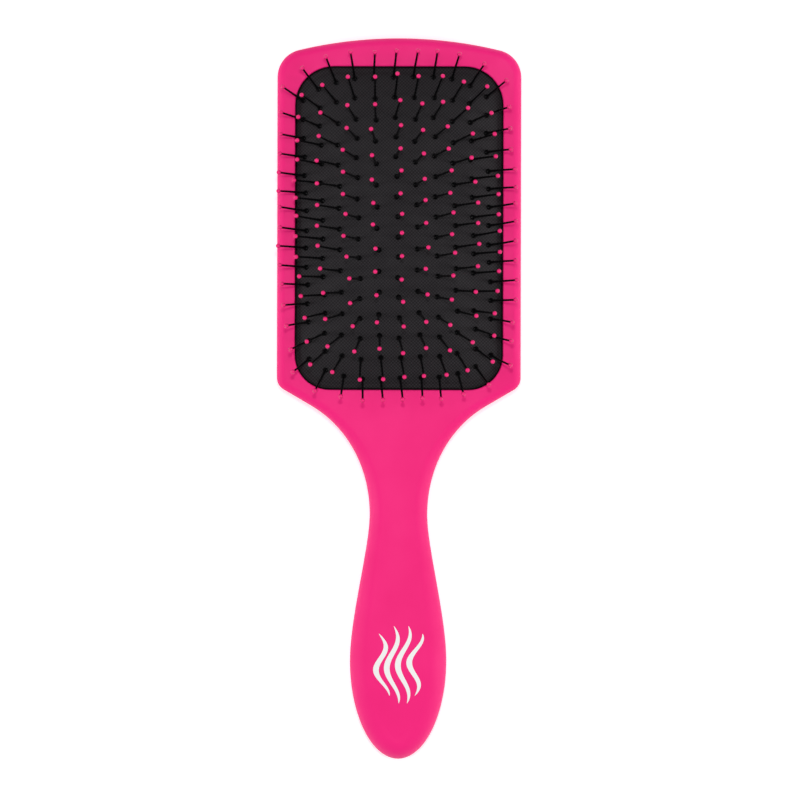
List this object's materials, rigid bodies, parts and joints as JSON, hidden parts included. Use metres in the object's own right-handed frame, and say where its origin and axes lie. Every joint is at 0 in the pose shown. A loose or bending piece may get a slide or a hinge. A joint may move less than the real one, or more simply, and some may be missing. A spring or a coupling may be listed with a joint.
{
  "type": "paddle hair brush",
  "caption": "Flat paddle hair brush with a two-shell body and handle, a domed rubber air-cushion pad and staggered rows of ball-tipped bristles.",
  "frame": {"origin": "on the flat back, under the middle of the brush's length and width", "axes": "+Z the way the bristles point, +Y from the handle to the head, +X to the right seen from the bristle side"},
  "size_m": [0.088, 0.26, 0.0453],
  "materials": {
    "soft_touch_plastic": "soft-touch matte",
    "pad_rubber": "finely textured matte",
    "bristle_nylon": "satin",
    "bristle_tip": "gloss",
    "printed_motif": "matte ink"
  },
  "bodies": {
    "body": {"front_shell": "soft_touch_plastic", "back_shell": "soft_touch_plastic"},
    "pad": {"cushion_pad": "pad_rubber"},
    "row_01_bottom": {"bristle_row_01_bottom": "bristle_nylon"},
    "row_01_middle": {"bristle_row_01_middle": "bristle_nylon"},
    "row_01_top": {"bristle_row_01_top": "bristle_nylon"},
    "row_02_bottom": {"bristle_row_02_bottom": "bristle_nylon"},
    "row_02_middle": {"bristle_row_02_middle": "bristle_nylon"},
    "row_02_top": {"bristle_row_02_top": "bristle_nylon"},
    "row_03_bottom": {"bristle_row_03_bottom": "bristle_nylon"},
    "row_03_middle": {"bristle_row_03_middle": "bristle_nylon"},
    "row_03_top": {"bristle_row_03_top": "bristle_nylon"},
    "row_04_bottom": {"bristle_row_04_bottom": "bristle_nylon"},
    "row_04_middle": {"bristle_row_04_middle": "bristle_nylon"},
    "row_04_top": {"bristle_row_04_top": "bristle_nylon"},
    "row_05_bottom": {"bristle_row_05_bottom": "bristle_nylon"},
    "row_05_middle": {"bristle_row_05_middle": "bristle_nylon"},
    "row_05_top": {"bristle_row_05_top": "bristle_nylon"},
    "row_06_bottom": {"bristle_row_06_bottom": "bristle_nylon"},
    "row_06_middle": {"bristle_row_06_middle": "bristle_nylon"},
    "row_06_top": {"bristle_row_06_top": "bristle_nylon"},
    "row_07_bottom": {"bristle_row_07_bottom": "bristle_nylon"},
    "row_07_middle": {"bristle_row_07_middle": "bristle_nylon"},
    "row_07_top": {"bristle_row_07_top": "bristle_nylon"},
    "row_08_bottom": {"bristle_row_08_bottom": "bristle_nylon"},
    "row_08_middle": {"bristle_row_08_middle": "bristle_nylon"},
    "row_08_top": {"bristle_row_08_top": "bristle_nylon"},
    "row_09_bottom": {"bristle_row_09_bottom": "bristle_nylon"},
    "row_09_middle": {"bristle_row_09_middle": "bristle_nylon"},
    "row_09_top": {"bristle_row_09_top": "bristle_nylon"},
    "row_10_bottom": {"bristle_row_10_bottom": "bristle_nylon"},
    "row_10_middle": {"bristle_row_10_middle": "bristle_nylon"},
    "row_10_top": {"bristle_row_10_top": "bristle_nylon"},
    "row_11_bottom": {"bristle_row_11_bottom": "bristle_nylon"},
    "row_11_middle": {"bristle_row_11_middle": "bristle_nylon"},
    "row_11_top": {"bristle_row_11_top": "bristle_nylon"}
  },
  "joints": [
    {"name": "pad_press", "type": "slide", "parent": "body", "child": "pad", "axis": [0, 0, -1], "range_m": [0, 0.0035], "stiffness_N_per_m": 2500, "deforming": ["cushion_pad"]},
    {"name": "row_01_bottom_rock", "type": "hinge", "parent": "pad", "child": "row_01_bottom", "pos_m": [-0.03239, 0.02769, 0.01346], "axis": [-0.0164, 0.9996, 0.0208], "range_deg": [-10, 10], "stiffness_Nm_per_rad": 0.02},
    {"name": "row_01_middle_rock", "type": "hinge", "parent": "pad", "child": "row_01_middle", "pos_m": [-0.03322, 0.06065, 0.01339], "axis": [-0.0115, 0.9999, -0.0065], "range_deg": [-10, 10], "stiffness_Nm_per_rad": 0.02},
    {"name": "row_01_top_rock", "type": "hinge", "parent": "pad", "child": "row_01_top", "pos_m": [-0.03412, 0.09376, 0.01268], "axis": [-0.0211, 0.9994, -0.027], "range_deg": [-10, 10], "stiffness_Nm_per_rad": 0.02},
    {"name": "row_02_bottom_rock", "type": "hinge", "parent": "pad", "child": "row_02_bottom", "pos_m": [-0.02643, 0.02394, 0.01538], "axis": [-0.0111, 0.9941, 0.1079], "range_deg": [-10, 10], "stiffness_Nm_per_rad": 0.02},
    {"name": "row_02_middle_rock", "type": "hinge", "parent": "pad", "child": "row_02_middle", "pos_m": [-0.02752, 0.06065, 0.01639], "axis": [-0.0294, 0.9995, -0.0143], "range_deg": [-10, 10], "stiffness_Nm_per_rad": 0.02},
    {"name": "row_02_top_rock", "type": "hinge", "parent": "pad", "child": "row_02_top", "pos_m": [-0.02829, 0.09779, 0.01505], "axis": [-0.0471, 0.9944, -0.095], "range_deg": [-10, 10], "stiffness_Nm_per_rad": 0.02},
    {"name": "row_03_bottom_rock", "type": "hinge", "parent": "pad", "child": "row_03_bottom", "pos_m": [-0.0201, 0.02338, 0.01653], "axis": [-0.0255, 0.9814, 0.1904], "range_deg": [-10, 10], "stiffness_Nm_per_rad": 0.02},
    {"name": "row_03_middle_rock", "type": "hinge", "parent": "pad", "child": "row_03_middle", "pos_m": [-0.021, 0.06114, 0.01926], "axis": [-0.0085, 1, -0.0033], "range_deg": [-10, 10], "stiffness_Nm_per_rad": 0.02},
    {"name": "row_03_top_rock", "type": "hinge", "parent": "pad", "child": "row_03_top", "pos_m": [-0.02219, 0.09869, 0.01645], "axis": [-0.0309, 0.9856, -0.1663], "range_deg": [-10, 10], "stiffness_Nm_per_rad": 0.02},
    {"name": "row_04_bottom_rock", "type": "hinge", "parent": "pad", "child": "row_04_bottom", "pos_m": [-0.01356, 0.02172, 0.01725], "axis": [-0.0268, 0.9616, 0.2731], "range_deg": [-10, 10], "stiffness_Nm_per_rad": 0.02},
    {"name": "row_04_middle_rock", "type": "hinge", "parent": "pad", "child": "row_04_middle", "pos_m": [-0.01426, 0.06127, 0.02152], "axis": [-0.0273, 0.9996, -0.0074], "range_deg": [-10, 10], "stiffness_Nm_per_rad": 0.02},
    {"name": "row_04_top_rock", "type": "hinge", "parent": "pad", "child": "row_04_top", "pos_m": [-0.01566, 0.10069, 0.01728], "axis": [-0.0273, 0.9664, -0.2556], "range_deg": [-10, 10], "stiffness_Nm_per_rad": 0.02},
    {"name": "row_05_bottom_rock", "type": "hinge", "parent": "pad", "child": "row_05_bottom", "pos_m": [-0.0068, 0.02301, 0.01793], "axis": [-0.0161, 0.9575, 0.2878], "range_deg": [-10, 10], "stiffness_Nm_per_rad": 0.02},
    {"name": "row_05_middle_rock", "type": "hinge", "parent": "pad", "child": "row_05_middle", "pos_m": [-0.00769, 0.0612, 0.02301], "axis": [-0.0322, 0.9995, -0.0043], "range_deg": [-10, 10], "stiffness_Nm_per_rad": 0.02},
    {"name": "row_05_top_rock", "type": "hinge", "parent": "pad", "child": "row_05_top", "pos_m": [-0.00868, 0.09956, 0.01803], "axis": [-0.0337, 0.9594, -0.2801], "range_deg": [-10, 10], "stiffness_Nm_per_rad": 0.02},
    {"name": "row_06_bottom_rock", "type": "hinge", "parent": "pad", "child": "row_06_bottom", "pos_m": [0.00011, 0.02221, 0.01793], "axis": [-0.018, 0.9539, 0.2994], "range_deg": [-10, 10], "stiffness_Nm_per_rad": 0.02},
    {"name": "row_06_middle_rock", "type": "hinge", "parent": "pad", "child": "row_06_middle", "pos_m": [-0.00067, 0.06161, 0.02323], "axis": [-0.0108, 0.9999, -0.0006], "range_deg": [-10, 10], "stiffness_Nm_per_rad": 0.02},
    {"name": "row_06_top_rock", "type": "hinge", "parent": "pad", "child": "row_06_top", "pos_m": [-0.00178, 0.10114, 0.01782], "axis": [-0.03, 0.9525, -0.3032], "range_deg": [-10, 10], "stiffness_Nm_per_rad": 0.02},
    {"name": "row_07_bottom_rock", "type": "hinge", "parent": "pad", "child": "row_07_bottom", "pos_m": [0.00737, 0.02334, 0.01806], "axis": [-0.0434, 0.9577, 0.2846], "range_deg": [-10, 10], "stiffness_Nm_per_rad": 0.02},
    {"name": "row_07_middle_rock", "type": "hinge", "parent": "pad", "child": "row_07_middle", "pos_m": [0.00614, 0.06153, 0.02322], "axis": [-0.02, 0.9998, 0.0022], "range_deg": [-10, 10], "stiffness_Nm_per_rad": 0.02},
    {"name": "row_07_top_rock", "type": "hinge", "parent": "pad", "child": "row_07_top", "pos_m": [0.00534, 0.10025, 0.01789], "axis": [-0.0211, 0.9559, -0.293], "range_deg": [-10, 10], "stiffness_Nm_per_rad": 0.02},
    {"name": "row_08_bottom_rock", "type": "hinge", "parent": "pad", "child": "row_08_bottom", "pos_m": [0.01409, 0.02244, 0.0175], "axis": [-0.0303, 0.9636, 0.2657], "range_deg": [-10, 10], "stiffness_Nm_per_rad": 0.02},
    {"name": "row_08_middle_rock", "type": "hinge", "parent": "pad", "child": "row_08_middle", "pos_m": [0.01336, 0.06193, 0.02177], "axis": [-0.028, 0.9996, 0.007], "range_deg": [-10, 10], "stiffness_Nm_per_rad": 0.02},
    {"name": "row_08_top_rock", "type": "hinge", "parent": "pad", "child": "row_08_top", "pos_m": [0.01234, 0.1013, 0.01742], "axis": [-0.0113, 0.9592, -0.2827], "range_deg": [-10, 10], "stiffness_Nm_per_rad": 0.02},
    {"name": "row_09_bottom_rock", "type": "hinge", "parent": "pad", "child": "row_09_bottom", "pos_m": [0.02072, 0.02427, 0.01679], "axis": [-0.0336, 0.9826, 0.1825], "range_deg": [-10, 10], "stiffness_Nm_per_rad": 0.02},
    {"name": "row_09_middle_rock", "type": "hinge", "parent": "pad", "child": "row_09_middle", "pos_m": [0.01988, 0.06187, 0.01969], "axis": [-0.0275, 0.9996, 0.0103], "range_deg": [-10, 10], "stiffness_Nm_per_rad": 0.02},
    {"name": "row_09_top_rock", "type": "hinge", "parent": "pad", "child": "row_09_top", "pos_m": [0.01891, 0.09971, 0.01674], "axis": [-0.007, 0.9781, -0.2082], "range_deg": [-10, 10], "stiffness_Nm_per_rad": 0.02},
    {"name": "row_10_bottom_rock", "type": "hinge", "parent": "pad", "child": "row_10_bottom", "pos_m": [0.02712, 0.02535, 0.01544], "axis": [-0.0246, 0.9951, 0.0963], "range_deg": [-10, 10], "stiffness_Nm_per_rad": 0.02},
    {"name": "row_10_middle_rock", "type": "hinge", "parent": "pad", "child": "row_10_middle", "pos_m": [0.02612, 0.06223, 0.01706], "axis": [-0.0199, 0.9998, 0.0093], "range_deg": [-10, 10], "stiffness_Nm_per_rad": 0.02},
    {"name": "row_10_top_rock", "type": "hinge", "parent": "pad", "child": "row_10_top", "pos_m": [0.02531, 0.09922, 0.01574], "axis": [-0.005, 0.9923, -0.1234], "range_deg": [-10, 10], "stiffness_Nm_per_rad": 0.02},
    {"name": "row_11_bottom_rock", "type": "hinge", "parent": "pad", "child": "row_11_bottom", "pos_m": [0.03279, 0.02906, 0.01338], "axis": [-0.0118, 0.9996, 0.0264], "range_deg": [-10, 10], "stiffness_Nm_per_rad": 0.02},
    {"name": "row_11_middle_rock", "type": "hinge", "parent": "pad", "child": "row_11_middle", "pos_m": [0.03203, 0.06237, 0.01406], "axis": [-0.0107, 0.9999, 0.0059], "range_deg": [-10, 10], "stiffness_Nm_per_rad": 0.02},
    {"name": "row_11_top_rock", "type": "hinge", "parent": "pad", "child": "row_11_top", "pos_m": [0.03143, 0.0953, 0.0139], "axis": [-0.0235, 0.9995, -0.0233], "range_deg": [-10, 10], "stiffness_Nm_per_rad": 0.02}
  ]
}
